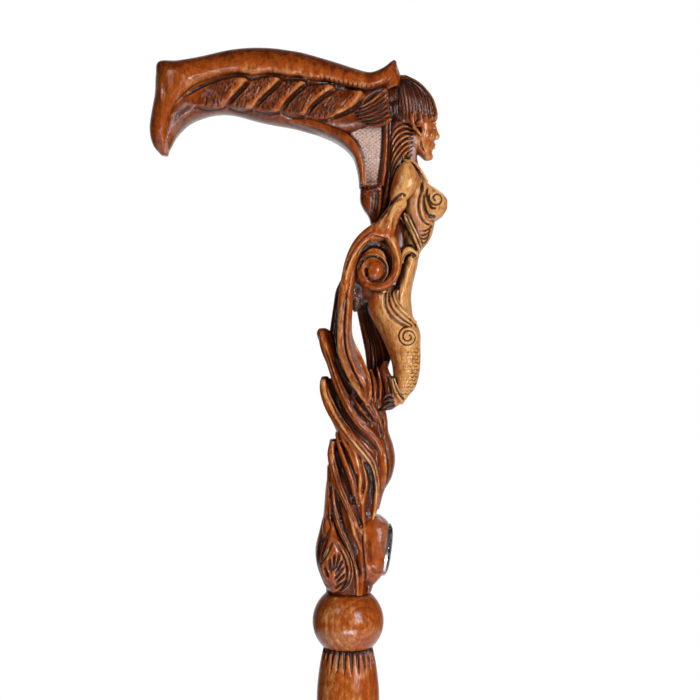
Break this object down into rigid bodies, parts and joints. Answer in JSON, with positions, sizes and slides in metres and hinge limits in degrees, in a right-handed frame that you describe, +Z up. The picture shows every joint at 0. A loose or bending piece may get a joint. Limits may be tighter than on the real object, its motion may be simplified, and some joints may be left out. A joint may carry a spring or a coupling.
{
  "type": "walking cane",
  "caption": "Wooden walking cane with a hooked, carved figurehead handle, a turned bead, a tapering stick and a rubber tip.",
  "frame": {"origin": "centre of the rubber tip's flat underside, on the axis of the stick", "axes": "+Z up along the stick; +X from the stick's axis the way the carved figure faces, with the grip towards -X; +Y across the grip"},
  "size_m": [0.1495, 0.0384, 0.9198],
  "materials": {
    "carved_wood": "glossy lacquer over dark-stained carving",
    "turned_wood": "glossy lacquer",
    "steel": "zinc-plated",
    "bright_metal": "polished",
    "clear_stone": "clear, polished",
    "rubber": "matte black"
  },
  "bodies": {
    "root": {"carved_handle": "carved_wood", "neck_ball": "turned_wood", "shaft": "turned_wood", "joining_stud": "steel", "bezel_tray": "bright_metal", "cabochon": "clear_stone", "ferrule": "rubber", "ferrule_washer": "steel"}
  },
  "joints": []
}
